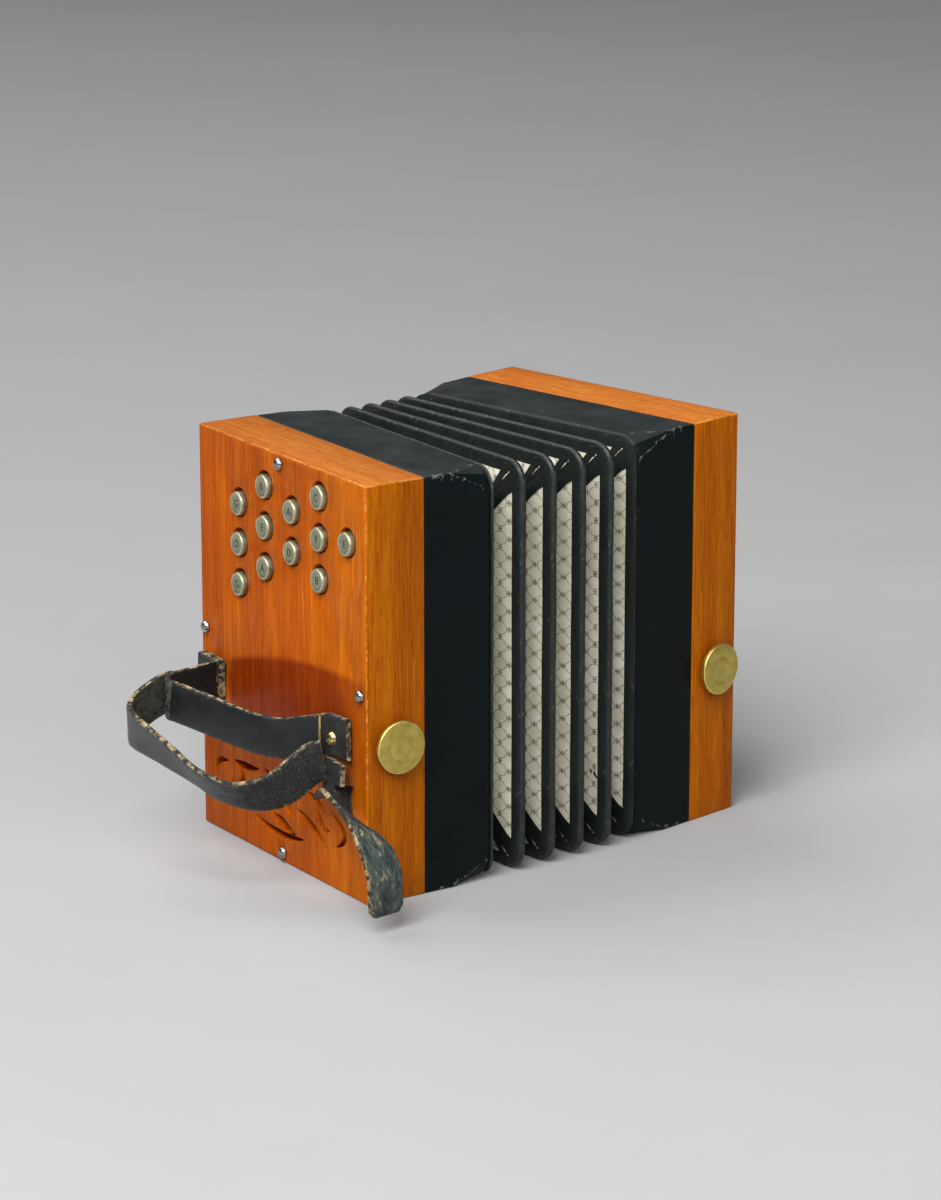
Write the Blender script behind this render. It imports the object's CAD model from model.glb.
"""Looks of the concertina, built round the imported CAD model.

Lengths are in millimetres until a mesh is made. An end's own coordinates are (u, y, z), with
u inwards from its outer face, and a fold's are (x, y, z), with x from the plane of its ridge.
"""
import math
import random
import bmesh
import bpy
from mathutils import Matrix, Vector, noise


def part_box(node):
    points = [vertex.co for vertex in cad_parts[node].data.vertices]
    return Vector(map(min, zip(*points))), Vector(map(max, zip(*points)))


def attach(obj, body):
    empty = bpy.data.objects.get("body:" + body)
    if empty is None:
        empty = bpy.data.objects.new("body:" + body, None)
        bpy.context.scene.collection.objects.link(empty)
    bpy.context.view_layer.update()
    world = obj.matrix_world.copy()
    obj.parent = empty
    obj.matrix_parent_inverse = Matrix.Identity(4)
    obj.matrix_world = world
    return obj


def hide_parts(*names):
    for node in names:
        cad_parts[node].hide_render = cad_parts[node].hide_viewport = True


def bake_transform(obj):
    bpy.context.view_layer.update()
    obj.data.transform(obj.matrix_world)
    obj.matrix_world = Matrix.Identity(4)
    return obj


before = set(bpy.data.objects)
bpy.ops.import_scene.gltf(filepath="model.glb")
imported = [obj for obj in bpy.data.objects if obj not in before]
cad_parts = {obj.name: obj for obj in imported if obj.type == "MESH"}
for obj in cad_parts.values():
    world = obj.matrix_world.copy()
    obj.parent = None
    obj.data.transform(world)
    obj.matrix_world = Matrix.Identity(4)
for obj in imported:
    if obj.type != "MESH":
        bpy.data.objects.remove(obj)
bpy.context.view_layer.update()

MM = 0.001
random.seed(7)

# ---- Sizes, as in the CAD ----

face_low, face_high = (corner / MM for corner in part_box("left_end_face"))
walls_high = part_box("left_end_walls")[1] / MM
frame_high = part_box("left_bellows_frame")[1] / MM
FACE_X = face_low.x
END_W = face_high.y - face_low.y
END_H = face_high.z - face_low.z
FACE_T = face_high.x - FACE_X
WOOD_D = walls_high.x - FACE_X
LEFT_D = frame_high.x - FACE_X
RIGHT_D = 54.5
WALL_T = 7.5
HALF_W = END_W / 2

FOLDS = 5
FAN_ANGLE = 12.85
FAN_R = 193.9
FOLD_ANGLE = FAN_ANGLE / FOLDS
FAN_Y = HALF_W + FAN_R
BELLOWS_X = frame_high.x

FOLD_DEPTH = 18
FOLD_HALF = FAN_R * math.sin(math.radians(FOLD_ANGLE / 2)) - 0.15
RIDGE_R = 8
RIDGE_IN = 0.5
VALLEY_GAP = 0.12
SEAT_GAP = 0.1

KEY_PITCH = 15
COLUMN_PITCH = 18.4
LEVER_SIDE = (-3.9, 3.9, 0)
LONE_LEVER_SIDE = 1.5
COLUMNS = ((1.54, 128, "GDG"), (0.56, 138, "BEA"), (-0.456, 132.7, "AD"),
           (-1.467, 141.7, "CFB"), (-2.467, 129, "E"))
CAP_R = 4.4
CAP_OUT = 1.8
CAP_IN = 1.9
STEM_R = 2.1
LEVER_TOP = 8.5
LEVER_DEEP = 4
LEVER_W = 1.6
BOARD_TOP = WOOD_D - 4
BUTTON_ARM = 38
PAD_ARM = 22

AIR_U = WOOD_D / 2
DISC_Z = 57.3
DISC_R = 9.65
DISC_OUT = 4
DISC_T = 1.8

STRAP_W = 15
STRAP_T = 2
INNER_ROUTE = ((-1.7, 50, 59.5), (-1.7, 44, 59.5), (-4, 40.5, 59.5), (-12, 38.5, 59.3),
               (-21, 37.5, 59), (-26, 36, 58.6), (-28, 33, 58), (-26.8, 29.5, 57.5),
               (-23, 20, 56), (-18.5, 8, 54), (-14, -5, 52.5), (-10, -17, 53), (-6, -28, 56),
               (-2.6, -35, 58), (-1.7, -39, 58.7), (-1.7, -48, 59))
OUTER_ROUTE = ((-22, 39.3, 58.8, 0), (-27, 39.1, 58.2, 0), (-33.5, 38.2, 56, -4),
               (-39.5, 36.8, 53.5, -4), (-44, 33, 52, 0), (-47, 25, 51.7, 7),
               (-47.5, 13, 50.6, 18), (-45, -0.5, 47, 30), (-40.5, -11.5, 41.7, 44),
               (-34, -18.5, 37.5, 43), (-26.5, -25.5, 37, 30), (-19, -31, 40.2, 15),
               (-12.8, -34, 45.6, 8), (-8.4, -35.8, 48.9, 3), (-5.8, -38, 49.7, 0))
TAILS = {
    "left": ((-3.6, -42, 50, 0.16, 1, 0), (-4, -42, 45, 0.16, 1, 0),
             (-4.6, -42.3, 40.8, 0.1, 1, 0.05), (-5.8, -45, 38, -0.3, 0.7, 0.5),
             (-8, -52.5, 36.5, -0.7, 0, 0.72), (-9.2, -61.5, 35.6, -0.75, -0.2, 0.62),
             (-9.5, -70, 33.3, -0.85, -0.2, 0.42), (-9.5, -77.5, 28.5, -0.95, -0.2, 0.16),
             (-9, -82, 21.5, -0.98, -0.17, 0), (-9, -83, 14.5, -0.98, -0.17, 0),
             (-9, -83.5, 6.5, -0.98, -0.17, 0)),
    "right": ((-4, -41, 48, 0, 1, 0), (-4.5, -41.5, 43, 0, 1, 0), (-5, -42, 36, 0, 1, 0),
              (-5.5, -42, 28, 0, 1, 0), (-6, -41.5, 20, 0, 1, 0), (-6.5, -41, 12, 0, 1, 0))}
TAB_ROUTE = ((-2.4, 52.8, 59.8), (-2.3, 46, 59.6), (-2.5, 39.3, 59.2))
TAB_T = 4

# ---- Camera, floor and lights ----

CAMERA_AT = (-0.7818, -1.2961, 0.5155)
CAMERA_TURN = (math.radians(74.52), 0, math.radians(-33.27))
CAMERA_LENS = 131.76
CAMERA_FAR = 60
FLOOR_HALF = 12
WORLD_COLOUR = (0.62, 0.62, 0.64, 1)
WORLD_STRENGTH = 0.14


def add_object(name, data):
    made = bpy.data.objects.new(name, data)
    bpy.context.scene.collection.objects.link(made)
    return made


camera_data = bpy.data.cameras.new("camera")
camera_data.lens = CAMERA_LENS
camera_data.clip_end = CAMERA_FAR
camera = add_object("camera", camera_data)
camera.location = CAMERA_AT
camera.rotation_euler = CAMERA_TURN
bpy.context.scene.camera = camera

# ---- Material tools ----


class Paint:
    """A Principled material and the nodes that feed it."""

    def __init__(self, name, source="at", **settings):
        self.material = bpy.data.materials.new(name)
        self.material.use_nodes = True
        self.tree = self.material.node_tree
        self.shader = self.tree.nodes["Principled BSDF"]
        for socket, value in settings.items():
            self.shader.inputs[socket.replace("_", " ")].default_value = value
        if source == "at":
            self.at = self.node("Attribute", attribute_name="at").outputs["Vector"]
        else:
            object_place = self.node("TexCoord").outputs["Object"]
            self.at = self.vector("SCALE", object_place, scale=1 / MM)

    def node(self, kind, inputs=None, **settings):
        made = self.tree.nodes.new("ShaderNode" + kind)
        for key, value in settings.items():
            setattr(made, key, value)
        for key, value in (inputs or {}).items():
            if isinstance(value, bpy.types.NodeSocket):
                self.tree.links.new(value, made.inputs[key])
            else:
                made.inputs[key].default_value = value
        return made

    def math(self, operation, *values):
        inputs = dict(enumerate(values))
        return self.node("Math", inputs, operation=operation).outputs[0]

    def times(self, *values):
        return self.math("MULTIPLY", *values)

    def axes(self):
        """The mesh's own x, y and z."""
        outputs = self.node("SeparateXYZ", {"Vector": self.at}).outputs
        return outputs["X"], outputs["Y"], outputs["Z"]

    def vector(self, operation, a, b=None, scale=None):
        inputs = {0: a}
        if b is not None:
            inputs[1] = b
        if scale is not None:
            inputs["Scale"] = scale
        return self.node("VectorMath", inputs, operation=operation).outputs[0]

    def stretch(self, factors, source=None):
        return self.vector("MULTIPLY", source or self.at, factors)

    def noise(self, scale, detail=3, rough=0.5, source=None, distortion=0):
        inputs = {"Vector": source or self.at, "Scale": scale, "Detail": detail,
                  "Roughness": rough, "Distortion": distortion}
        return self.node("TexNoise", inputs).outputs[0]

    def cells(self, scale):
        inputs = {"Vector": self.at, "Scale": scale}
        return self.node("TexVoronoi", inputs, feature="SMOOTH_F1").outputs["Distance"]

    def ramp(self, factor, *stops):
        made = self.node("ValToRGB", {"Fac": factor})
        elements = made.color_ramp.elements
        while len(elements) < len(stops):
            elements.new(0.5)
        for element, (place, colour) in zip(elements, stops):
            element.position = place
            element.color = (*colour, 1)
        return made.outputs["Color"]

    def fade(self, value, low, high, to_low=0, to_high=1):
        inputs = {"Value": value, "From Min": low, "From Max": high,
                  "To Min": to_low, "To Max": to_high}
        return self.node("MapRange", inputs).outputs["Result"]

    def mix(self, factor, a, b, blend="MIX"):
        a, b = ((*c, 1) if isinstance(c, tuple) else c for c in (a, b))
        inputs = {0: factor, 6: a, 7: b}
        return self.node("Mix", inputs, data_type="RGBA", blend_type=blend).outputs[2]

    def bump(self, height, depth, strength):
        inputs = {"Height": height, "Distance": depth * MM, "Strength": strength}
        return self.node("Bump", inputs).outputs["Normal"]

    def worn(self, soft=0.15):
        """The worn edges, broken up by noise."""
        wear = self.node("Attribute", attribute_name="wear").outputs["Fac"]
        patches = self.noise(0.55, 4, 0.7)
        return self.fade(self.math("MULTIPLY_ADD", patches, 1.2, wear), 1.1, 1.1 + soft)

    def finish(self, colour, roughness=None, normal=None, coat_normal=None):
        for socket, value in (("Base Color", colour), ("Roughness", roughness),
                              ("Normal", normal), ("Coat Normal", coat_normal)):
            if value is not None:
                self.tree.links.new(value, self.shader.inputs[socket])
        return self.material


STAIN_MIDDLE = 43
STAIN_TOP = 80.9
STAIN_BOW = -0.002


def stained(paint, colour):
    """The face's own colouring: ruddy round the buttons, golden by the near edge, and a dark
    red stain above the strap."""
    _, y, z = paint.axes()
    drift = paint.fade(paint.noise(0.06, 3), 0.3, 0.7, -9, 9)
    middle = paint.node("CombineXYZ", {0: 0, 1: 4, 2: 116}).outputs[0]
    reach = paint.vector("DISTANCE", paint.stretch((0, 1, 0.8)),
                         paint.stretch((0, 1, 0.8), middle))
    ruddy = paint.fade(paint.math("ADD", reach, drift), 58, 14, 0, 0.85)
    colour = paint.mix(ruddy, colour, (0.86, 0.6, 0.6), "MULTIPLY")
    golden = paint.fade(paint.math("ADD", y, drift), -22, -44, 0, 0.8)
    colour = paint.mix(golden, colour, (1.22, 1.55, 1.5), "MULTIPLY")
    bow = paint.math("POWER", paint.math("ADD", y, STAIN_MIDDLE), 2)
    crown = paint.math("MULTIPLY_ADD", bow, STAIN_BOW, STAIN_TOP)
    under = paint.fade(paint.math("SUBTRACT", crown, z), -0.8, 1.6)
    over = paint.fade(z, 38, 50)
    inside = paint.fade(paint.math("MULTIPLY_ADD", drift, 0.1, y), 38.5, 35)
    depth = paint.fade(y, -34, -56, 0.95, 0.45)
    stain = paint.times(paint.times(under, over), paint.times(inside, depth))
    return paint.mix(stain, colour, (0.5, 0.3, 0.6), "MULTIPLY")


def wood(name, along, dark, middle, light, waves=1.5, face=False, rub=(0.66, 0.33, 0.07)):
    """Varnished wood with its grain along one axis."""
    paint = Paint(name, Coat_Weight=0.06, Coat_Roughness=0.2, Coat_IOR=1.35,
                  Specular_IOR_Level=0.05)
    waver = paint.node("TexNoise", {"Vector": paint.at, "Scale": 0.035, "Detail": 2})
    shift = paint.vector("SUBTRACT", waver.outputs["Color"], (0.5, 0.5, 0.5))
    place = paint.vector("ADD", paint.at, paint.vector("SCALE", shift, scale=waves))

    def grain(across, lengthwise):
        return paint.stretch([lengthwise if i == along else across for i in range(3)], place)

    bands = paint.noise(1, 3, 0.6, grain(0.16, 0.005))
    streaks = paint.noise(1, 4, 0.72, grain(2.1, 0.035))
    pores = paint.noise(1, 2, 0.55, grain(4.2, 0.12))
    clouds = paint.noise(0.03, 2, 0.5)
    tone = paint.math("MULTIPLY_ADD", streaks, 0.75, paint.times(bands, 0.45))
    colour = paint.ramp(tone, (0.42, dark), (0.6, middle), (0.78, light))
    red = tuple(c * f for c, f in zip(middle, (0.9, 0.72, 0.6)))
    colour = paint.mix(paint.fade(clouds, 0.45, 0.75, 0, 0.4), colour, red)
    if face:
        colour = stained(paint, colour)
    pits = paint.fade(pores, 0.56, 0.7)
    shade = paint.mix(pits, (1, 1, 1), (0.5, 0.3, 0.2))
    colour = paint.mix(0.9, colour, shade, "MULTIPLY")
    colour = paint.mix(paint.times(paint.worn(), 0.5), colour, rub)
    rough = paint.fade(streaks, 0.3, 0.7, 0.5, 0.38)
    height = paint.math("MULTIPLY_ADD", pits, -0.6, streaks)
    normal = paint.bump(height, 0.12, 0.45)
    coat = paint.bump(height, 0.05, 0.3)
    return paint.finish(colour, rough, normal, coat)


def leather(name, dark, light, grain=1.5, depth=0.2, rough=(0.42, 0.6), scuff=(0.3, 0.3, 0.27),
            scuffs=0.69, sheen=0.0, specular=0.5):
    """Grained leather: pebbles, soft blotches of colour and pale scuffs."""
    paint = Paint(name, Sheen_Weight=sheen, Sheen_Roughness=0.4, Specular_IOR_Level=specular)
    pebbles = paint.cells(grain)
    fine = paint.noise(grain * 2.6, 3, 0.6)
    blotches = paint.noise(0.06, 4, 0.6)
    colour = paint.ramp(blotches, (0.35, dark), (0.7, light))
    colour = paint.mix(paint.fade(pebbles, 0.2, 0.75, 0, 0.5), colour, dark)
    rubbed = paint.noise(1, 5, 0.75, paint.stretch((0.9, 0.5, 0.16)), 1.4)
    marks = paint.times(paint.fade(rubbed, scuffs, scuffs + 0.05),
                        paint.fade(paint.noise(0.05, 2), 0.5, 0.62))
    marks = paint.math("MAXIMUM", marks, paint.worn())
    colour = paint.mix(paint.times(marks, 0.7), colour, scuff)
    height = paint.math("MULTIPLY_ADD", fine, 0.45, paint.times(pebbles, -1))
    normal = paint.bump(height, depth, 0.8)
    return paint.finish(colour, paint.fade(blotches, 0.3, 0.7, *rough), normal)


def strap_skin(name, smooth, start, end, patches=None):
    """Strap leather that is smooth up to one place along it and rough suede beyond. patches
    are the run where green and gilt patches begin and where they end."""
    paint = Paint(name, Specular_IOR_Level=0.5)
    run = paint.axes()[0]
    drift = paint.fade(paint.noise(0.25, 4, 0.6), 0.3, 0.7, -8, 8)
    share = paint.fade(paint.math("ADD", run, drift), start, end)
    blotches = paint.noise(0.12, 4, 0.6)
    grain = paint.ramp(blotches, (0.35, smooth[0]), (0.7, smooth[1]))
    specks = paint.noise(1.5, 3, 0.8)
    suede = paint.ramp(specks, (0.4, (0.003, 0.003, 0.003)), (0.56, (0.014, 0.014, 0.013)),
                       (0.7, (0.075, 0.078, 0.066)))
    colour = paint.mix(share, grain, suede)
    rough = paint.fade(share, 0, 1, 0.4, 0.85)
    if patches:
        rubbed = paint.noise(0.2, 5, 0.7, paint.stretch((0.7, 1.6, 1)), 0.8)
        worn = paint.ramp(rubbed, (0.4, (0.014, 0.018, 0.02)), (0.52, (0.05, 0.068, 0.06)),
                          (0.6, (0.085, 0.105, 0.085)), (0.67, (0.42, 0.33, 0.13)))
        place = paint.math("ADD", run, drift)
        here = paint.times(paint.fade(place, patches[0], patches[0] + 8),
                           paint.fade(place, patches[1] + 8, patches[1], 0.25, 1))
        colour = paint.mix(here, colour, worn)
    colour = paint.mix(paint.times(paint.worn(), 0.6), colour, (0.3, 0.26, 0.17))
    height = paint.math("MULTIPLY_ADD", paint.times(specks, share), 2,
                        paint.noise(0.7, 4, 0.6))
    return paint.finish(colour, rough, paint.bump(height, 0.3, 0.6))


def metal(name, dark, light, rough=(0.25, 0.42), source="at", speck=0.62, tarnish=None):
    """Worn metal with fine scratches and tarnish."""
    paint = Paint(name, source, Metallic=1)
    clouds = paint.noise(0.35, 4, 0.65)
    scratches = paint.noise(1, 3, 0.6, paint.stretch((0.8, 7, 1.2)))
    colour = paint.ramp(clouds, (0.35, dark), (0.65, light))
    spots = paint.fade(paint.noise(1.4, 3, 0.7), speck, speck + 0.1)
    colour = paint.mix(paint.times(spots, 0.6), colour, tarnish or dark)
    colour = paint.mix(paint.worn(0.3), colour, tuple(min(1, c * 1.35) for c in light))
    normal = paint.bump(scratches, 0.02, 0.5)
    return paint.finish(colour, paint.fade(clouds, 0.3, 0.7, *rough), normal)


def matt(name, dark, light, scale=2.0, depth=0.1, source="at", ramp=(0.35, 0.65), **settings):
    """A plain matt stuff such as felt, ink or bare wood, with its own fine texture."""
    paint = Paint(name, source, Roughness=0.8, **settings)
    fine = paint.noise(scale, 5, 0.7)
    return paint.finish(paint.ramp(fine, (ramp[0], dark), (ramp[1], light)),
                        normal=paint.bump(fine, depth, 0.6))


PAPER_ACROSS = 8.4
PAPER_ALONG = 6.6
LINE_HALF = 0.27
DOT_RATE = 8.2
MARK_HALF = 1.05


def printed_paper(name):
    """Off-white paper printed with dotted round diamonds and a small mark at each crossing."""
    paint = Paint(name, Roughness=0.62, Specular_IOR_Level=0.35)
    x, y, _ = paint.axes()
    cos_x = paint.math("COSINE", paint.times(x, math.tau / PAPER_ACROSS))
    cos_y = paint.math("COSINE", paint.times(y, math.tau / PAPER_ALONG))
    both = paint.times(cos_x, cos_y)
    level = paint.math("MULTIPLY_ADD", both, 0.5, paint.math("ADD", cos_x, cos_y))
    line = paint.math("COMPARE", level, 0.0, LINE_HALF)
    dots = paint.times(paint.math("SINE", paint.times(x, DOT_RATE)),
                       paint.math("SINE", paint.times(y, DOT_RATE)))
    ink = paint.times(line, paint.math("GREATER_THAN", dots, -0.15))

    def off_mark(value, move, repeat):
        wrapped = paint.math("WRAP", paint.math("ADD", value, move), repeat / 2, -repeat / 2)
        return paint.math("ABSOLUTE", wrapped)

    def mark(move_x, move_y):
        """Two short bars crossed by a rung."""
        dx = off_mark(x, move_x, PAPER_ACROSS)
        dy = off_mark(y, move_y, PAPER_ALONG)
        bars = paint.times(paint.math("COMPARE", dx, 0.32, 0.17),
                           paint.math("LESS_THAN", dy, MARK_HALF))
        rung = paint.times(paint.math("COMPARE", dy, 0.0, 0.18),
                           paint.math("LESS_THAN", dx, MARK_HALF))
        return paint.math("MAXIMUM", bars, rung)

    marks = paint.math("MAXIMUM", mark(0, PAPER_ALONG / 2), mark(PAPER_ACROSS / 2, 0))
    ink = paint.math("MAXIMUM", paint.times(ink, 0.8), marks)
    fibres = paint.noise(1.1, 4, 0.7)
    blotches = paint.noise(0.08, 3, 0.6)
    sheet = paint.ramp(blotches, (0.35, (0.6, 0.57, 0.43)), (0.68, (0.82, 0.8, 0.69)))
    faded = paint.fade(paint.noise(0.25, 3), 0.3, 0.6, 0.7, 1)
    colour = paint.mix(paint.times(ink, faded), sheet, (0.045, 0.035, 0.008))
    return paint.finish(colour, normal=paint.bump(fibres, 0.06, 0.4))


face_wood = wood("face_wood", 2, (0.32, 0.062, 0.0008), (0.52, 0.132, 0.0015),
                 (0.74, 0.24, 0.004), face=True)
side_wood = wood("side_wood", 2, (0.22, 0.046, 0.0006), (0.39, 0.096, 0.001), (0.54, 0.18, 0.003))
top_wood = wood("top_wood", 1, (0.30, 0.075, 0.008), (0.47, 0.14, 0.02), (0.64, 0.25, 0.05),
                waves=3.5)
pale_wood = matt("pale_wood", (0.4, 0.31, 0.2), (0.58, 0.48, 0.34), 0.9, source="object")
frame_leather = leather("frame_leather", (0.0022, 0.0042, 0.0048), (0.003, 0.0085, 0.0088),
                        depth=0.12, scuff=(0.2, 0.2, 0.18), scuffs=0.74, specular=0.1)
top_leather = leather("top_leather", (0.012, 0.0145, 0.0145), (0.03, 0.034, 0.034), depth=0.12,
                      scuff=(0.24, 0.25, 0.24), scuffs=0.73, specular=0.2)
fold_leather = leather("fold_leather", (0.004, 0.0065, 0.006), (0.008, 0.013, 0.0115), 1.8, 0.16,
                       (0.36, 0.5), (0.075, 0.08, 0.07), 0.78)
hinge_cloth = matt("hinge_cloth", (0.003, 0.003, 0.003), (0.01, 0.011, 0.01), 3,
                   Specular_IOR_Level=0.2)
bellows_paper = printed_paper("bellows_paper")
cap_metal = metal("cap_metal", (0.34, 0.36, 0.22), (0.5, 0.5, 0.36), (0.38, 0.55), speck=0.66,
                  tarnish=(0.2, 0.2, 0.1))
letter_ink = matt("letter_ink", (0.01, 0.01, 0.01), (0.04, 0.04, 0.035), 6)
brass = metal("brass", (0.46, 0.33, 0.1), (0.75, 0.58, 0.24), (0.18, 0.35), source="object")
disc_brass = metal("disc_brass", (0.5, 0.38, 0.08), (0.66, 0.53, 0.15), (0.4, 0.55))
steel = metal("steel", (0.3, 0.29, 0.28), (0.62, 0.61, 0.6), (0.16, 0.3), source="object")
slot_dirt = matt("slot_dirt", (0.01, 0.009, 0.008), (0.05, 0.045, 0.04), 3, 0.05)
lever_wood = matt("lever_wood", (0.42, 0.3, 0.16), (0.62, 0.48, 0.3), 1.1)
pad_leather = matt("pad_leather", (0.5, 0.42, 0.3), (0.7, 0.62, 0.48), 1.6)
strap_grain = leather("strap_grain", (0.009, 0.0095, 0.0105), (0.022, 0.024, 0.027), 1.3, 0.2,
                      (0.34, 0.5), (0.12, 0.11, 0.08), 0.66)
strap_suede = leather("strap_suede", (0.003, 0.003, 0.003), (0.012, 0.012, 0.011), 2.2, 0.35,
                      (0.7, 0.9), (0.06, 0.07, 0.05), 0.62, 0.06, 0.2)
GREY = ((0.022, 0.024, 0.026), (0.05, 0.053, 0.058))
loop_skin = strap_skin("loop_skin", GREY, 80, 98)
tail_skin = strap_skin("tail_skin", GREY, -40, -30, (34, 66))
strap_edge = matt("strap_edge", (0.012, 0.01, 0.008), (0.44, 0.34, 0.17), 0.32, 0.3,
                  ramp=(0.46, 0.64))
floor_paint = matt("floor_paint", (0.4, 0.4, 0.402), (0.412, 0.412, 0.414), 0.01, 0,
                   source="object", Specular_IOR_Level=0.1)

# ---- Mesh tools ----


class Shape:
    """Points and faces in one part's own coordinates, on their way to one mesh."""

    def __init__(self, place):
        self.place = place
        self.points, self.marks, self.wear = [], [], []
        self.faces, self.kinds = [], []

    def add(self, points, faces, kind=0, marks=None, wear=None):
        base = len(self.points)
        self.points += [Vector(p) for p in points]
        self.marks += [Vector(p) for p in marks or points]
        self.wear += wear or [0.0] * len(points)
        self.faces += [[base + i for i in face] for face in faces]
        self.kinds += kind if isinstance(kind, list) else [kind] * len(faces)

    def loft(self, rings, kind=0, loop=False, marks=None, wear=None, caps=True):
        """Joins rings of points; loop joins the last ring to the first. kind may be a function."""
        m, n = len(rings), len(rings[0])
        pairs = [(i, j) for i in range(m if loop else m - 1) for j in range(n)]
        faces = [(i * n + j, i * n + (j + 1) % n,
                  (i + 1) % m * n + (j + 1) % n, (i + 1) % m * n + j) for i, j in pairs]
        kinds = [kind(i, j) if callable(kind) else kind for i, j in pairs]
        if caps and not loop:
            faces += [tuple(range(n)), tuple(range((m - 1) * n, m * n))]
            kinds += [kinds[0], kinds[-1]]
        flat = [[p for ring in rows for p in ring] if rows else None
                for rows in (rings, marks, wear)]
        self.add(flat[0], faces, kinds, flat[1], flat[2])

    def sheet(self, grid, back, kind=0, marks=None):
        """A thin closed plate: a grid of points in front and another behind it."""
        m, n = len(grid), len(grid[0])
        rings = [row + list(reversed(behind)) for row, behind in zip(grid, back)]
        if marks:
            marks = [row + list(reversed(row)) for row in marks]
        self.loft(rings, kind, marks=marks, caps=False)
        base = len(self.points) - m * 2 * n
        for start in (base, base + (m - 1) * 2 * n):
            quads = [(start + j, start + j + 1, start + 2 * n - 2 - j, start + 2 * n - 1 - j)
                     for j in range(n - 1)]
            self.faces += quads
            self.kinds += [kind] * len(quads)

    def turned(self, profile, place, steps=40, kind=0):
        """A lathe-turned shape. profile is (radius, height), with the wear after it where there
        is some; place makes a point of (height, across, up)."""
        rings = [[place(h, r * math.cos(math.tau * i / steps), r * math.sin(math.tau * i / steps))
                  for i in range(steps)] for r, h, *_ in profile]
        self.loft(rings, kind, wear=[[sum(worn)] * steps for _, _, *worn in profile])

    def block(self, low, high, kind=0):
        xs, ys, zs = zip(low, high)
        ring = [(ys[a], zs[b]) for a, b in ((0, 0), (1, 0), (1, 1), (0, 1))]
        self.loft([[(x, y, z) for y, z in ring] for x in xs], kind)

    def piece(self, name, materials, slot, stands_for, sharp=38):
        mesh = bpy.data.meshes.new(name)
        mesh.from_pydata([self.place(p) * MM for p in self.points], [], self.faces)
        for material in materials:
            mesh.materials.append(material)
        mesh.polygons.foreach_set("material_index", self.kinds)
        marks = mesh.attributes.new("at", "FLOAT_VECTOR", "POINT")
        marks.data.foreach_set("vector", [c for p in self.marks for c in p])
        wear = mesh.attributes.new("wear", "FLOAT", "POINT")
        wear.data.foreach_set("value", self.wear)
        tidy = bmesh.new()
        tidy.from_mesh(mesh)
        bmesh.ops.recalc_face_normals(tidy, faces=tidy.faces)
        tidy.to_mesh(mesh)
        tidy.free()
        mesh.shade_smooth()
        mesh.set_sharp_from_angle(angle=math.radians(sharp))
        made = add_object(name, mesh)
        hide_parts(*stands_for)
        return made

    def ride(self, body, *piece, **settings):
        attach(self.piece(*piece, **settings), body)


def wander(place, size, seed):
    """Smooth noise from -1 to 1 with waves about size long."""
    return noise.noise(Vector(place) / size + Vector((seed * 7.3, seed * 3.1, seed)))


def steps(low, high, count):
    return [low + (high - low) * i / count for i in range(count + 1)]


def rounded_box(inset, radius, arc, side, squash=0.0, low=0.0):
    """A rectangle with round corners, pulled in by inset, as (y, z) points. squash 1 makes
    each corner a flat cut in place of an arc; side is the number of steps along a side."""
    w, lo, hi = HALF_W - inset, low + inset, END_H - low - inset
    points = []
    for turn, (y, z) in enumerate(((w, lo), (w, hi), (-w, hi), (-w, lo))):
        towards_y, towards_z = -math.copysign(1, y), 1 if z == lo else -1
        centre = (y + towards_y * radius, z + towards_z * radius)
        corner = []
        for i in range(arc + 1):
            angle = math.radians(-90 + 90 * turn + 90 * i / arc)
            corner.append((centre[0] + radius * math.cos(angle),
                           centre[1] + radius * math.sin(angle)))
        first, last = corner[0], corner[-1]
        corner = [tuple((1 - squash) * c + squash * (a + (b - a) * i / arc)
                        for c, a, b in zip(p, first, last)) for i, p in enumerate(corner)]
        points.append(corner)
    ring = []
    for turn in range(4):
        ring += points[turn]
        start, end = points[turn][-1], points[(turn + 1) % 4][0]
        ring += [tuple(a + (b - a) * i / side for a, b in zip(start, end))
                 for i in range(1, side)]
    return ring


def on_ridge(k, p):
    """A point given from the plane of ridge k, as the CAD places it."""
    turn = math.radians(k * FOLD_ANGLE)
    y = p[1] - FAN_Y
    return Vector((BELLOWS_X + p[0] * math.cos(turn) - y * math.sin(turn),
                   FAN_Y + p[0] * math.sin(turn) + y * math.cos(turn), p[2]))


def on_left(p):
    return Vector((p[0] + FACE_X, p[1], p[2]))


def on_right(p):
    return on_ridge(FOLDS, (RIGHT_D - p[0], p[1], p[2]))


ENDS = {"left": on_left, "right": on_right}

# ---- Wooden boxes ----

EDGE_R = 0.8
HOLE_EDGE = 0.25
WALL_EDGE = 0.35
BOARD_GAP = 0.04
EDGE_WEAR = 0.54
NEAR = 0.01


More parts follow.
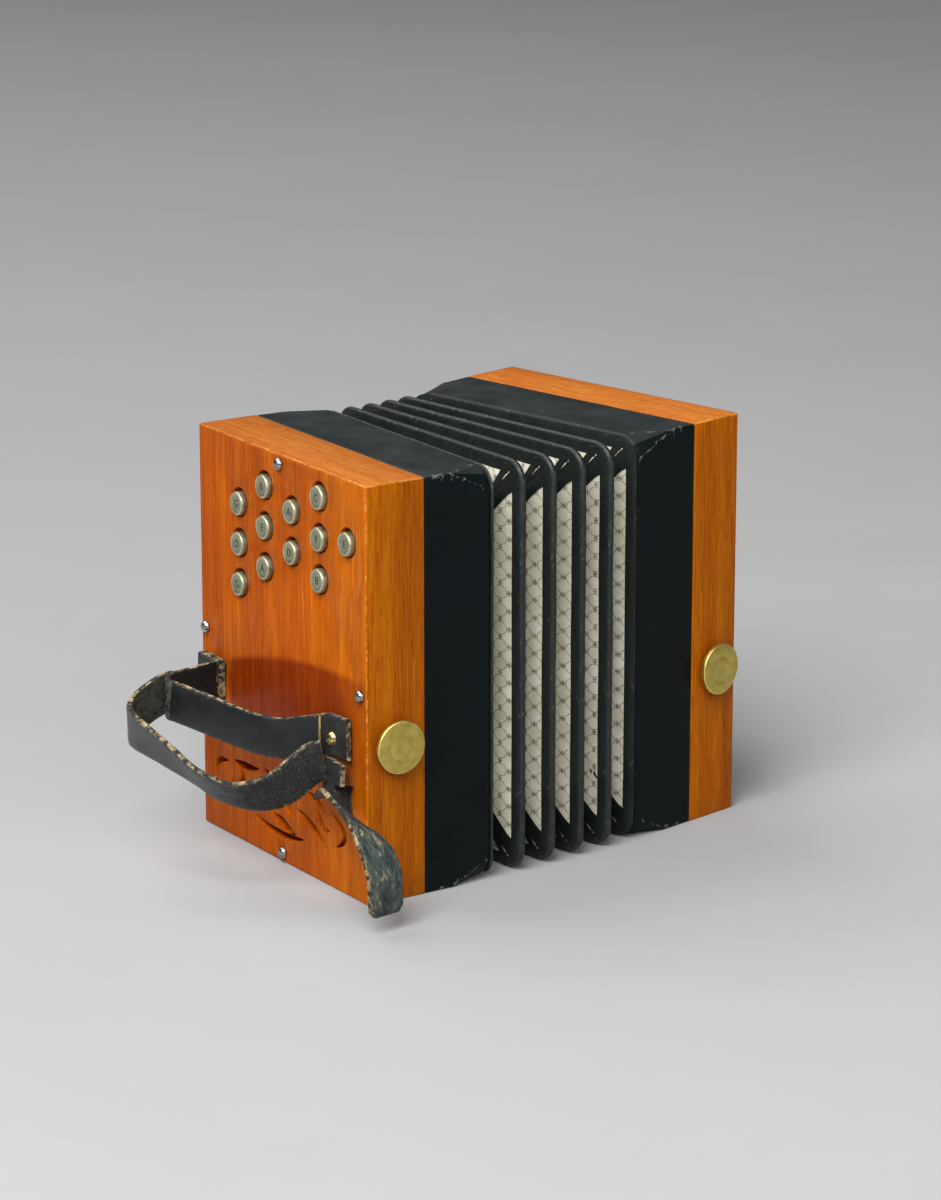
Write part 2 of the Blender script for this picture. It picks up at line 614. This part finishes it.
def face_board():
    """The CAD's face board in end coordinates, with its outer edges and holes rounded."""
    board = bmesh.new()
    board.from_mesh(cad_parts["left_end_face"].data)
    bmesh.ops.scale(board, vec=(1 / MM,) * 3, verts=board.verts)
    bmesh.ops.translate(board, vec=(-FACE_X, 0, 0), verts=board.verts)
    bmesh.ops.remove_doubles(board, verts=board.verts, dist=0.004)
    bmesh.ops.dissolve_limit(board, angle_limit=math.radians(0.5), verts=board.verts,
                             edges=board.edges)

    def at_rim(vertex):
        return (abs(abs(vertex.co.y) - HALF_W) < NEAR or vertex.co.z < NEAR
                or vertex.co.z > END_H - NEAR)

    def bends(edge):
        return len(edge.link_faces) == 2 and edge.calc_face_angle() > 1

    def front(edge):
        return all(v.co.x < NEAR for v in edge.verts)

    def corner(edge):
        return all(at_rim(v) for v in edge.verts) and abs(
            edge.verts[0].co.x - edge.verts[1].co.x) > FACE_T - 0.1

    outer = [e for e in board.edges
             if bends(e) and (corner(e) or front(e) and all(at_rim(v) for v in e.verts))]
    bmesh.ops.bevel(board, geom=outer, offset=EDGE_R, segments=4, profile=0.5,
                    affect="EDGES", clamp_overlap=False)
    rims = [e for e in board.edges if bends(e) and front(e)]
    bmesh.ops.bevel(board, geom=rims, offset=HOLE_EDGE, segments=2, profile=0.5,
                    affect="EDGES", clamp_overlap=False)
    bmesh.ops.triangulate(board, faces=[f for f in board.faces if len(f.verts) > 4])
    board.verts.ensure_lookup_table()
    points = [v.co.copy() for v in board.verts]
    faces = [[v.index for v in f.verts] for f in board.faces]
    board.free()
    return points, faces


def on_edge(p):
    """The wear at a point of a box end: on its rounded outer edges, and none on its flats."""
    near = sorted((HALF_W - abs(p[1]), min(p[2], END_H - p[2]), abs(p[0])))
    return EDGE_WEAR if near[1] < EDGE_R * 0.9 else 0.0


def wall_rings():
    """The four walls as one mitred ring, with its inner and outer long edges rounded."""
    soft, front = WALL_EDGE, FACE_T + BOARD_GAP
    outer = [(front, soft / 2), (front + soft / 2, 0), (WOOD_D - soft, 0),
             (WOOD_D - soft / 3, soft / 3), (WOOD_D, soft)]
    inner = [(WOOD_D, WALL_T), (front, WALL_T)]
    rings = []
    for u, inset in outer + inner:
        radius = EDGE_R if inset < 1 else 0.05
        rings.append([(u, y, z) for y, z in rounded_box(inset, radius, 4, 12)])
    return rings


def level_side(ring):
    """For each face of a ring, 1 where it lies on the top or bottom board."""
    return [1 if abs(b[1] - a[1]) > abs(b[2] - a[2]) else 0
            for a, b in zip(ring, ring[1:] + ring[:1])]


def board_kind(face):
    """0 on the front and in the holes, 1 on the sides, 2 on the top and bottom edges."""
    corners = [board_points[i] for i in face]
    if all(p.z < EDGE_R or p.z > END_H - EDGE_R for p in corners):
        return 2
    return 1 if all(abs(p.y) > HALF_W - EDGE_R / 2 for p in corners) else 0


board_points, board_faces = face_board()
board_kinds = [board_kind(face) for face in board_faces]
board_wear = [on_edge(p) for p in board_points]
walls = wall_rings()
wall_kinds = level_side(walls[0])
wall_wear = [[on_edge(p) for p in ring] for ring in walls]
for side, place in ENDS.items():
    board = Shape(place)
    board.add(board_points, board_faces, board_kinds, wear=board_wear)
    board.ride(side + "_end", side + "_face_board", [face_wood, side_wood, top_wood],
               "face_wood", [side + "_end_face"], sharp=50)
    box = Shape(place)
    box.loft(walls, lambda i, j: wall_kinds[j], loop=True, wear=wall_wear)
    box.ride(side + "_end", side + "_box_walls", [side_wood, top_wood], "wall_wood",
             [side + "_end_walls"])

# ---- Keys ----

LETTER_SIZE = 3.9
LETTER_T = 0.05
PAD_R = 5
PAD_T = 3
PAD_GAP = 0.3
PAD_EDGE = 0.4
PAD_ROD_R = 1.5
CAP_DISH = ((0.05, 0.28), (1.5, 0.3), (2.9, 0.27), (3.2, 0.2, 0.3), (3.4, 0.06, 0.7),
            (3.62, 0.0, 0.9), (3.86, 0.03, 0.9), (4.1, 0.16, 0.6), (4.27, 0.38, 0.2),
            (4.36, 0.65), (CAP_R, 1.0))
CAP_PROFILE = (*((r, h - CAP_OUT, *worn) for r, h, *worn in CAP_DISH),
               (CAP_R, CAP_IN - 0.2), (CAP_R - 0.2, CAP_IN), (STEM_R, CAP_IN),
               (STEM_R, LEVER_TOP))


def letter_mesh(letter):
    """A note letter as flat points (across, up) with faces, centred on its cap."""
    text = bpy.data.curves.new("letter", "FONT")
    text.body = letter
    text.size = LETTER_SIZE
    text.extrude = LETTER_T
    text.align_x = "CENTER"
    text.align_y = "CENTER"
    made = add_object("letter", text)
    bpy.context.view_layer.update()
    mesh = bpy.data.meshes.new_from_object(made)
    points = [v.co.copy() for v in mesh.vertices]
    faces = [list(f.vertices) for f in mesh.polygons]
    bpy.data.objects.remove(made)
    bpy.data.curves.remove(text)
    bpy.data.meshes.remove(mesh)
    return points, faces


def make_key(side, number, y, z, lever_y, letter):
    key = Shape(ENDS[side])
    key.turned(CAP_PROFILE, lambda h, a, b: (h, y + a, z + b), 36)
    points, faces = letters[letter]
    reading = -1 if side == "left" else 1
    key.add([(CAP_PROFILE[0][1] - p.z, y + reading * p.x, z + p.y) for p in points], faces, 1)
    pivot_z = z - BUTTON_ARM
    foot = sorted((y, lever_y))
    key.block((LEVER_TOP, foot[0] - LEVER_W / 2, z - STEM_R),
              (LEVER_TOP + LEVER_DEEP, foot[1] + LEVER_W / 2, z + STEM_R), 2)
    key.block((LEVER_TOP, lever_y - LEVER_W / 2, pivot_z - PAD_ARM - PAD_ROD_R),
              (LEVER_TOP + LEVER_DEEP, lever_y + LEVER_W / 2, z - STEM_R), 2)
    near, far = BOARD_TOP - PAD_GAP - PAD_T, BOARD_TOP - PAD_GAP
    pad = ((PAD_ROD_R, LEVER_TOP + 1), (PAD_ROD_R, near), (PAD_R - PAD_EDGE, near),
           (PAD_R, near + PAD_EDGE), (PAD_R, far - PAD_EDGE / 2), (PAD_R - PAD_EDGE / 2, far))
    key.turned(pad, lambda h, a, b: (h, lever_y + a, pivot_z - PAD_ARM + b), 28, 3)
    name = "%s_key_%02d" % (side, number)
    key.ride(name, name + "_button", [cap_metal, letter_ink, lever_wood, pad_leather],
             "button_metal", [name])


letters = {letter: letter_mesh(letter) for letter in "ABCDEFG"}
for side in ENDS:
    number = 0
    for column, top, names in COLUMNS:
        y = column * COLUMN_PITCH
        for row, letter in enumerate(names):
            number += 1
            shift = LONE_LEVER_SIDE if len(names) == 1 else LEVER_SIDE[row]
            make_key(side, number, y, top - row * KEY_PITCH, y + shift, letter)

# ---- Air buttons ----

AIR_STEM_R = 2.5
AIR_PLATE = (14.6, 12)
AIR_PLATE_T = 1.6
AIR_PLATE_GAP = 0.3
AIR_WALL_GAP = 0.45
DISC_PROFILE = ((0.05, 0.12), (0.3, 0.1), (0.45, 0.0), (0.9, 0.0), (1.05, 0.05), (1.2, 0.0),
                (4.6, 0.0), (4.68, 0.03), (4.76, 0.0), (8.7, 0.0), (8.85, 0.05), (9.0, 0.0, 0.3),
                (9.3, 0.04, 0.8), (9.55, 0.22, 0.8), (DISC_R, 0.5, 0.3), (DISC_R, 1.4),
                (9.5, DISC_T), (AIR_STEM_R, DISC_T), (AIR_STEM_R, 12))

for side, place in ENDS.items():
    button = Shape(place)
    outer_y = -HALF_W - DISC_OUT
    button.turned(DISC_PROFILE, lambda h, a, b: (AIR_U + a, outer_y + h, DISC_Z + b), 72)
    plate_u = BOARD_TOP - AIR_PLATE_GAP - AIR_PLATE_T
    plate_y = -HALF_W + WALL_T + AIR_WALL_GAP
    plate_z = DISC_Z - AIR_PLATE[1] / 2
    button.block((AIR_U, plate_y, DISC_Z - AIR_STEM_R),
                 (plate_u + 0.5, plate_y + AIR_PLATE_T, DISC_Z + AIR_STEM_R))
    button.block((plate_u, plate_y, plate_z),
                 (plate_u + AIR_PLATE_T, plate_y + AIR_PLATE[0], plate_z + AIR_PLATE[1]))
    button.ride(side + "_air", side + "_air_disc", [disc_brass], "aged_brass",
                [side + "_air_button"])

# ---- Bellows frames ----

FRAME_CUT = 8
CUT_RUN = 16
ROLL_R = 1.6
FRAME_IN = 16
FRAME_SIDE = 28
CREASE_WEAR = 0.5
ROLL_WEAR = 0.36
JOIN_WEAR = 0.55


def frame_ring(u, inset, depth):
    """A ring of the leather-covered frame, whose corners are cut off towards the bellows."""
    share = min(1, max(0, (u - depth + CUT_RUN) / CUT_RUN))
    radius = 0.9 + (FRAME_CUT - 0.9) * share
    flat = 0.72 * min(1, share * 3) * (1 - 0.45 * share)
    ring = rounded_box(inset, max(radius - inset / 2, 0.5), 8, FRAME_SIDE, flat)
    made = []
    for y, z in ring:
        puff = 0.22 * wander((u, y, z), 17, 3) * min(1, (u - WOOD_D) / 6)
        made.append((u + 0.12 * wander((u, y, z), 11, 5) * share, y - math.copysign(puff, y)
                     if abs(y) > HALF_W - inset - 1 else y, z))
    return made


def frame_profile(depth):
    rolled = [(depth - ROLL_R + ROLL_R * math.sin(a), 0.25 + ROLL_R * (1 - math.cos(a)))
              for a in steps(0, math.pi / 2, 6)]
    start = [(WOOD_D + 0.05, 0.9), (WOOD_D + 0.1, 0.5), (WOOD_D + 0.5, 0.22), (WOOD_D + 1.2, 0.12)]
    body = [(u, 0.12 + 0.13 * (u - WOOD_D) / (depth - WOOD_D))
            for u in steps(WOOD_D + 3, depth - ROLL_R - 0.6, 14)]
    back = [(depth, FRAME_IN - 4), (depth - 1, FRAME_IN), (WOOD_D + 2, FRAME_IN),
            (WOOD_D + 0.05, FRAME_IN - 1)]
    return start + body + rolled + back


def frame_wear(u, y, z, depth):
    """High on the cuts' creases, on the rolled edge and next to the wood."""
    share = (u - depth + CUT_RUN) / CUT_RUN
    radius = 0.9 + (FRAME_CUT - 0.9) * max(0, share)
    to_y, to_z = HALF_W - abs(y), min(z, END_H - z)
    crease = share > -0.6 and min(to_y, to_z) < 0.7 and abs(max(to_y, to_z) - radius) < 0.5
    rolled = depth - u < 1.1 and min(to_y, to_z) < 1.2
    if crease:
        return CREASE_WEAR
    if rolled:
        return ROLL_WEAR
    return JOIN_WEAR if u < WOOD_D + 0.2 else 0.0


for side, depth in (("left", LEFT_D), ("right", RIGHT_D)):
    cover = Shape(ENDS[side])
    rings = [frame_ring(u, inset, depth) for u, inset in frame_profile(depth)]
    level = level_side(rings[0])
    kinds = [1 if flat and p[2] > END_H / 2 else 0 for flat, p in zip(level, rings[0])]
    cover.loft(rings, lambda i, j: kinds[j], loop=True,
               wear=[[frame_wear(*p, depth) for p in ring] for ring in rings])
    cover.ride(side + "_end", side + "_frame_cover", [frame_leather, top_leather],
               "frame_leather", [side + "_bellows_frame"], sharp=60)

# ---- Bellows ----

BIND = 4.7
BIND_LIFT = 0.28
PAPER_LIFT = 0.1
GUSSET_LIFT = 0.24
MITRE_GAP = 5
MITRE_GAP_TOP = 1.5
LEAF_T = 0.9
TIP_R = 1.15
TIP_IN = 1.25
TIP_TURN = 78
SLOPE = (FOLD_HALF - TIP_R) / (FOLD_DEPTH - TIP_IN)
TILT = math.atan(SLOPE)
BELLOWS_SIDE = 20
BELLOWS_ARC = 8
SWAY = 0.28
SWAY_WAVE = 26
RIDGE_WEAR = 0.42
CORNER = 9


def flank(sign, inset, lift=0.0):
    """(x, inset) of a point on a fold's flank, lifted off it by lift."""
    x = TIP_R + (inset - TIP_IN) * SLOPE + lift * math.cos(TILT)
    return sign * x, inset - lift * math.sin(TILT)


def fold_radius(inset):
    return max(RIDGE_R - inset / 3, 1.5)


def fold_outline(inset):
    return rounded_box(inset, fold_radius(inset), BELLOWS_ARC, BELLOWS_SIDE, low=RIDGE_IN)


def sway(inset, y, z, seed):
    """How far a fold strays along x, a little at its ridge and not at all at its valleys."""
    free = max(0, 1 - inset / FOLD_DEPTH) ** 0.5
    return SWAY * free * wander((0, y, z), SWAY_WAVE, seed)


def fold_ring(x, inset, seed):
    return [(x + sway(inset, y, z, seed), y, z) for y, z in fold_outline(inset)]


def tip_profile():
    """The round of a ridge's binding, from its left flank to its right one."""
    radius = TIP_R + BIND_LIFT
    return [(radius * math.sin(math.radians(a)), TIP_IN - radius * math.cos(math.radians(a)))
            for a in steps(-TIP_TURN, TIP_TURN, 8)]


def fold_profile(sign):
    """Half of a fold's outside, from its binding's edge down to its valley."""
    return ([flank(sign, d, BIND_LIFT) for d in (1.9, 2.9, 3.9, BIND - 0.15)]
            + [flank(sign, BIND, BIND_LIFT * 0.4), flank(sign, BIND + 0.1)]
            + [flank(sign, d) for d in steps(6.8, FOLD_DEPTH, 5)])


def flank_sides(inset, sign, lift, seed):
    """The four straight runs of a flank between its corner gussets, each a list of points."""
    x, at = flank(sign, inset, lift)
    half_w = HALF_W - RIDGE_IN - inset - MITRE_GAP_TOP
    half_h = END_H / 2 - RIDGE_IN - inset - MITRE_GAP
    w, lo, hi = HALF_W - RIDGE_IN - at, RIDGE_IN + at, END_H - RIDGE_IN - at
    runs = ([(w, END_H / 2 + s) for s in steps(-half_h, half_h, 24)],
            [(s, hi) for s in steps(half_w, -half_w, 18)],
            [(-w, END_H / 2 + s) for s in steps(half_h, -half_h, 24)],
            [(s, lo) for s in steps(-half_w, half_w, 18)])
    return [[(x + sway(inset, y, z, seed), y, z) for y, z in run] for run in runs]


def corner_run(inset, sign, lift, turn, seed):
    """A flank's corner between the ends of two paper panels, dipped along its fold line."""
    x, at = flank(sign, inset, lift)
    ring = rounded_box(at, fold_radius(inset), BELLOWS_ARC, 1, low=RIDGE_IN)
    arc = ring[turn * (BELLOWS_ARC + 1):(turn + 1) * (BELLOWS_ARC + 1)]
    along = ((0, 1), (-1, 0), (0, -1), (1, 0))
    before, after = along[turn - 1], along[turn]
    reach = [max((MITRE_GAP if along_z else MITRE_GAP_TOP) + 1 - fold_radius(inset), 0.3)
             for along_z in (before[1], after[1])]
    points = ([(arc[0][0] - before[0] * reach[0], arc[0][1] - before[1] * reach[0])] + arc
              + [(arc[-1][0] + after[0] * reach[1], arc[-1][1] + after[1] * reach[1])])
    middle = len(points) // 2
    run = []
    for i, (y, z) in enumerate(points):
        dip = 0.3 * lift / GUSSET_LIFT * max(0, 1 - abs(i - middle))
        run.append((x + sway(inset, y, z, seed) - sign * dip, y, z))
    return run


def add_flank(shape, sign, seed):
    """Paper panels and corner gussets on one flank."""
    panel_rows = steps(BIND - 0.4, FOLD_DEPTH - 1, 5)
    front = [flank_sides(d, sign, PAPER_LIFT, seed) for d in panel_rows]
    behind = [flank_sides(d, sign, -0.05, seed) for d in panel_rows]
    for run in range(4):
        shift = random.uniform(0, PAPER_ALONG)
        slide = random.uniform(0, PAPER_ACROSS)
        length = 2 if run % 2 == 0 else 1
        marks = [[(d + slide, p[length] + shift, run) for p in row[run]]
                 for d, row in zip(panel_rows, front)]
        shape.sheet([row[run] for row in front], [row[run] for row in behind], 1, marks)
    gusset_rows = steps(BIND - 0.4, FOLD_DEPTH - 1.6, 5)
    for turn in range(4):
        shape.sheet([corner_run(d, sign, GUSSET_LIFT, turn, seed) for d in gusset_rows],
                    [corner_run(d, sign, -0.05, turn, seed) for d in gusset_rows])


def ridge_wear(rings):
    """Wear on a fold's rings, most at the corners of its ridge."""
    def at(p):
        corner = math.hypot(max(0, abs(p[1]) - HALF_W + CORNER),
                            max(0, abs(p[2] - END_H / 2) - END_H / 2 + CORNER))
        return RIDGE_WEAR if corner > 6 and abs(p[0]) < TIP_R + 0.4 else 0.0
    return [[at(p) for p in ring] for ring in rings]


def make_fold(k, signs, name, node):
    """Fold k, or with one sign the half fold against an end's frame."""
    fold = Shape(lambda p: on_ridge(k, p))
    seed = k + 1
    if len(signs) == 2:
        outside = list(reversed(fold_profile(-1))) + tip_profile() + fold_profile(1)
        inside = [flank(1, FOLD_DEPTH, -LEAF_T), flank(1, 6, -LEAF_T), (0, 3.4),
                  flank(-1, 6, -LEAF_T), flank(-1, FOLD_DEPTH, -LEAF_T)]
    else:
        sign = signs[0]
        edge = [(sign * SEAT_GAP, 1.3), (sign * 0.5, 0.55), (sign * 1.0, 0.3)]
        outside = edge + fold_profile(sign)
        inside = [flank(sign, FOLD_DEPTH, -LEAF_T), flank(sign, 7, -LEAF_T),
                  (sign * SEAT_GAP, 3.4)]
    rings = [fold_ring(x, inset, seed) for x, inset in outside + inside]
    fold.loft(rings, loop=True, wear=ridge_wear(rings))
    for sign in signs:
        add_flank(fold, sign, seed)
    piece = fold.piece(name, [fold_leather, bellows_paper], "bellows_leather", [node],
                       sharp=50)
    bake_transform(piece)


def make_valley(k):
    """The cloth hinge between two folds."""
    edge = FOLD_HALF + VALLEY_GAP
    valley = Shape(lambda p: p)
    sections = ((k - 1, edge, FOLD_DEPTH - 1.1), (k - 1, edge + 0.05, FOLD_DEPTH - 0.1),
                (k - 0.5, 0, FOLD_DEPTH + 0.9), (k, -edge - 0.05, FOLD_DEPTH - 0.1),
                (k, -edge, FOLD_DEPTH - 1.1), (k, -edge, FOLD_DEPTH),
                (k - 0.5, 0, FOLD_DEPTH + 2.2), (k - 1, edge, FOLD_DEPTH))
    valley.loft([[on_ridge(ridge, (x, y, z)) for y, z in fold_outline(inset)]
                 for ridge, x, inset in sections], loop=True)
    piece = valley.piece("bellows_hinge_%d" % k, [hinge_cloth], "bellows_leather",
                         ["bellows_valley_%d" % k], sharp=60)
    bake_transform(piece)


make_fold(0, (1,), "bellows_seat_left", "bellows_end_fold_left")
for k in range(1, FOLDS):
    make_fold(k, (-1, 1), "bellows_leaf_%d" % k, "bellows_fold_%d" % k)
make_fold(FOLDS, (-1,), "bellows_seat_right", "bellows_end_fold_right")
for k in range(1, FOLDS + 1):
    make_valley(k)

# ---- Straps ----

ROUTE_STEPS = 7
UP = Vector((0, 0, 1))
SECTION = ((0.5, 0.3), (0.49, 0.42), (0.46, 0.5), (0.3, 0.53), (0.1, 0.54), (-0.1, 0.54),
           (-0.3, 0.53), (-0.46, 0.5), (-0.49, 0.42), (-0.5, 0.3), (-0.5, -0.3), (-0.49, -0.42),
           (-0.46, -0.5), (-0.3, -0.47), (-0.1, -0.46), (0.1, -0.46), (0.3, -0.47),
           (0.46, -0.5), (0.49, -0.42), (0.5, -0.3))
EDGE_FACES = (0, 8, 9, 10, 18, 19)
FOLD_U = -26
FOLD_Y = 30
FOLD_WEAR = 0.62
STRAP_EDGE_WEAR = 0.5
FRAY = 0.022
SWELL = 0.1


def smooth_route(route):
    """Points along a smooth curve through the route's points."""
    ends = [tuple(2 * a - b for a, b in zip(route[0], route[1])), *route,
            tuple(2 * a - b for a, b in zip(route[-1], route[-2]))]
    made = []
    for i in range(1, len(ends) - 2):
        p, q, r, s = ends[i - 1:i + 3]
        for t in steps(0, 1, ROUTE_STEPS)[:-1]:
            made.append([0.5 * (2 * b + (c - a) * t + (2 * a - 5 * b + 4 * c - d) * t * t
                                + (3 * b - a - 3 * c + d) * t ** 3)
                         for a, b, c, d in zip(p, q, r, s)])
    return made + [list(route[-1])]


def strap_rings(route, seed, thick=STRAP_T, cut=False):
    """Sections of a strap along its route, and each section's (along, across, side) marks.
    A route's point is a place and, after it, nothing, a lean in degrees or a direction across."""
    points = smooth_route(route)
    places = [Vector(p[:3]) for p in points]
    last = len(points) - 1
    rings, marks, run = [], [], 0
    for i, point in enumerate(points):
        heading = (places[min(i + 1, last)] - places[max(i - 1, 0)]).normalized()
        if len(point) > 4:
            across = Vector(point[3:])
            across = (across - across.dot(heading) * heading).normalized()
        else:
            lean = math.radians(point[3]) if len(point) == 4 else 0
            aside = heading.cross(UP).normalized()
            across = math.cos(lean) * aside.cross(heading) + math.sin(lean) * aside
        out = heading.cross(across)
        run += (places[i] - places[i - 1]).length if i else 0
        tip = min(1, 0.72 + 0.28 * (last - i) / 2) if cut else 1
        ring, mark = [], []
        for a, b in SECTION:
            fray = 1 + FRAY * wander((run, a * 9, 0), 3.5, seed) * (abs(a) > 0.4)
            swell = 1 + SWELL * wander((run, a * 15, 4), 9, seed)
            ring.append(places[i] + across * STRAP_W * a * tip * fray
                        + out * thick * b * swell * (0.6 + 0.4 * tip))
            mark.append((run, a * STRAP_W, b * thick))
        rings.append(ring)
        marks.append(mark)
    return rings, marks


def strap_kind(_, j):
    """0 on the side away from the face board, 1 on the other, 2 on the cut edges."""
    return 2 if j in EDGE_FACES else 0 if j < 8 else 1


def strap_wear(rings):
    """Wear on a strap's long edges and across its sharp fold."""
    plain = [STRAP_EDGE_WEAR if abs(a) > 0.45 else 0.0 for a, _ in SECTION]
    folded = [FOLD_WEAR] * len(SECTION)
    return [folded if ring[0][0] < FOLD_U and ring[0][1] > FOLD_Y else plain for ring in rings]


for side, place in ENDS.items():
    parts = (("band", INNER_ROUTE, strap_grain, strap_suede),
             ("loop", OUTER_ROUTE, loop_skin, strap_suede),
             ("tail", TAILS[side], strap_grain, tail_skin))
    for seed, (name, route, front, behind) in enumerate(parts):
        strap = Shape(place)
        runs = [strap_rings(route, seed, cut=name == "tail")]
        if name == "band":
            runs.append(strap_rings(TAB_ROUTE, 5, TAB_T))
        for rings, marks in runs:
            strap.loft(rings, strap_kind, marks=marks, wear=strap_wear(rings))
        strap.ride(side + "_end", "%s_strap_%s" % (side, name), [front, behind, strap_edge],
                   "strap_leather", [side + "_hand_strap"], sharp=60)

# ---- Bolts, screws and keeper wires ----

BOLT_IN = WALL_T / 2
BOLT_LEN = 40
BOLT_PLACES = ((0, END_H - BOLT_IN), (0, BOLT_IN), (HALF_W - BOLT_IN, END_H / 2),
               (-HALF_W + BOLT_IN, END_H / 2))
DOME = ((0.02, -2.15), (0.6, -2.12), (1.15, -1.98), (1.65, -1.68), (2.02, -1.22), (2.22, -0.7),
        (2.3, -0.15), (2.26, -0.05), (1.3, -0.05), (1.3, BOLT_LEN))
SCREW_PLACES = ((44, 59.5), (-38.3, 57.3))
SCREW_U = -2.7
SCREW_DOME = ((0.02, -1.95), (0.7, -1.88), (1.4, -1.6), (2.0, -1.1), (2.4, -0.5), (2.62, 0.0),
              (1.2, 0.0), (1.2, 7.3))
WIRES = (((-4.4, -33.2, 50.4), (-4.5, -33.1, 58), (-4.4, -33.2, 65.6)),
         ((-25.4, 38.6, 50.9), (-25.7, 38.5, 58.6), (-25.4, 38.6, 66.4)))
WIRE_R = 0.6
WIRE_SIDES = 10
SLOT_R = 2.0
BOLT_SLOT = 0.5
SCREW_SLOT = 0.4
SLOT_TURNS = (0.2, 2.9)


def add_dome(shape, profile, u, y, z, slot):
    """A domed head with its shank, and a dark slot across the head at a random angle."""
    shape.turned(profile, lambda h, a, b: (u + h, y + a, z + b))
    top = profile[0][1]
    turn = random.uniform(*SLOT_TURNS)
    across = [(math.cos(turn) * a * SLOT_R - math.sin(turn) * b * slot / 2,
               math.sin(turn) * a * SLOT_R + math.cos(turn) * b * slot / 2)
              for a, b in ((-1, -1), (1, -1), (1, 1), (-1, 1))]
    rings = [[(u + h, y + a * s, z + b * s) for a, b in across]
             for h, s in ((top - 0.01, 0.45), (top + 0.5, 0.86))]
    shape.loft(rings, 1)


def add_wire(shape, route):
    """A bent wire with rounded ends."""
    points = smooth_route(route)
    last = len(points) - 1
    circle = [(math.cos(math.tau * j / WIRE_SIDES), math.sin(math.tau * j / WIRE_SIDES))
              for j in range(WIRE_SIDES)]
    rings = []
    for i, (x, y, z) in enumerate(points):
        reach = WIRE_R * (0.55 if i in (0, last) else 1)
        rings.append([(x + reach * a, y + reach * b, z) for a, b in circle])
    shape.loft(rings)


for side, place in ENDS.items():
    bolts = Shape(place)
    for y, z in BOLT_PLACES:
        add_dome(bolts, DOME, 0, y, z, BOLT_SLOT)
    bolts.ride(side + "_end", side + "_bolts", [steel, slot_dirt], "steel",
               [side + "_end_bolts"])
    fixings = Shape(place)
    for y, z in SCREW_PLACES:
        add_dome(fixings, SCREW_DOME, SCREW_U, y, z, SCREW_SLOT)
    for route in WIRES:
        add_wire(fixings, route)
    fixings.ride(side + "_end", side + "_screws_and_wires", [brass, slot_dirt], "brass",
                 [side + "_strap_fixings"])

# ---- CAD nodes that keep their shape ----

KEPT = {"action_board": pale_wood, "reed_pan": pale_wood, "lever_posts": brass,
        "key_springs": brass, "reeds": brass}
for side in ENDS:
    for name, material in KEPT.items():
        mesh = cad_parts["%s_%s" % (side, name)].data
        mesh.materials.clear()
        mesh.materials.append(material)

# ---- Floor and lights ----

floor_mesh = bpy.data.meshes.new("floor")
floor_mesh.from_pydata([(x * FLOOR_HALF, y * FLOOR_HALF, 0)
                        for x, y in ((-1, -1), (1, -1), (1, 1), (-1, 1))], [], [(0, 1, 2, 3)])
floor_mesh.materials.append(floor_paint)
floor = add_object("floor", floor_mesh)

OBJECT_MIDDLE = Vector((0.05, 0, 0.07))


def softbox(name, place, size, power):
    data = bpy.data.lights.new(name, "AREA")
    data.shape = "RECTANGLE"
    data.size, data.size_y = size
    data.energy = power
    light = add_object(name, data)
    light.location = place
    light.rotation_euler = (OBJECT_MIDDLE - Vector(place)).to_track_quat("-Z", "Y").to_euler()


softbox("key", (-1.0, -0.75, 1.55), (1.3, 1.3), 52)
softbox("front_fill", (-0.1, -1.9, 1.1), (1.6, 1.2), 14)
softbox("overhead", (-0.4, 1.5, 2.5), (2.2, 2.0), 48)

bpy.context.scene.view_settings.view_transform = "Standard"
world = bpy.data.worlds.new("world")
world.use_nodes = True
world.node_tree.nodes["Background"].inputs["Color"].default_value = WORLD_COLOUR
world.node_tree.nodes["Background"].inputs["Strength"].default_value = WORLD_STRENGTH
bpy.context.scene.world = world
